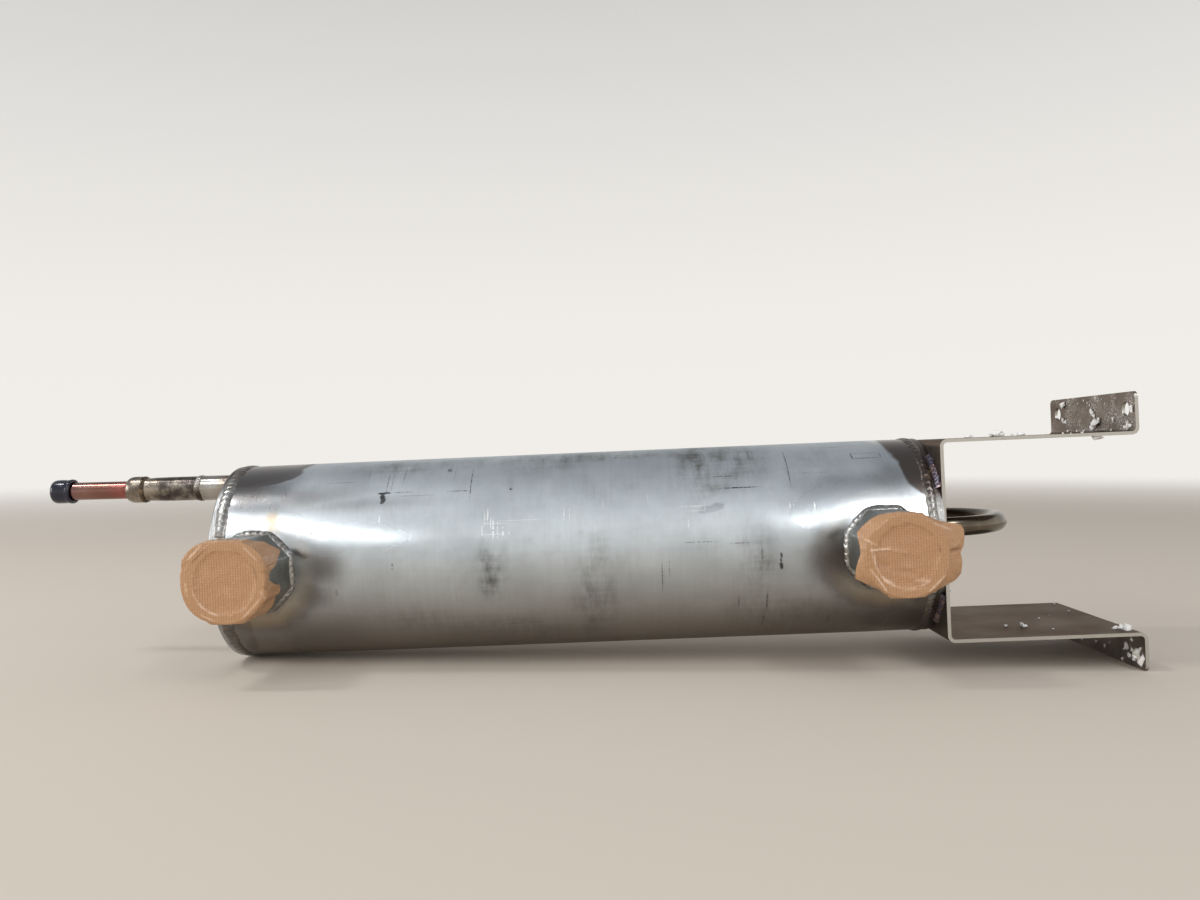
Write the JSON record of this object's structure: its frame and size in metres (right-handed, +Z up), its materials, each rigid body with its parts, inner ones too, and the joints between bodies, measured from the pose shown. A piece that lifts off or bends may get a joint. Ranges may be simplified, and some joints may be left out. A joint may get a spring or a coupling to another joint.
{
  "type": "shell and tube heat exchanger",
  "caption": "Horizontal stainless shell and tube heat exchanger with taped octagonal side ports, a capped tube stub at one end and a bent sheet mounting bracket at the other.",
  "frame": {"origin": "centre of the bracket's four bolt holes, on the bolting plane of its two lips and on the shell's axis", "axes": "+X along the shell's axis out of the bolting face, +Z up as the unit lies, ports towards -Y"},
  "size_m": [0.9331, 0.2263, 0.2266],
  "materials": {
    "stainless_shell": "brushed, mill marks and heat tint",
    "stainless_plate": "machined edge",
    "weld_bead": "as welded, rippled",
    "cast_fitting": "as cast, satin",
    "tan_tape": "woven tape, slight gloss",
    "steel_tube": "drawn, heat stained",
    "brazed_adapter": "brazed, stained brown and silver",
    "braze_metal": "dark braze",
    "copper_tube": "drawn copper, dull pink",
    "vinyl_cap": "dipped vinyl",
    "bracket_sheet": "mill finish sheet, satin",
    "bend_tube": "drawn tube, straw heat tint"
  },
  "bodies": {
    "root": {"shell_pipe": "stainless_shell", "left_end_plate": "stainless_plate", "left_end_weld": "weld_bead", "right_end_plate": "stainless_plate", "right_end_weld": "weld_bead", "left_port_coupling": "cast_fitting", "left_port_weld": "weld_bead", "left_port_tape": "tan_tape", "right_port_coupling": "cast_fitting", "right_port_weld": "weld_bead", "right_port_tape": "tan_tape", "inlet_tube": "steel_tube", "inlet_tube_weld": "weld_bead", "joint_bead": "braze_metal", "adapter_sleeve": "brazed_adapter", "braze_ring": "braze_metal", "reducer_bell": "brazed_adapter", "copper_stub": "copper_tube", "vinyl_cap": "vinyl_cap", "mounting_bracket": "bracket_sheet", "bracket_welds": "weld_bead", "return_bend": "bend_tube", "return_bend_welds": "weld_bead"}
  },
  "joints": []
}
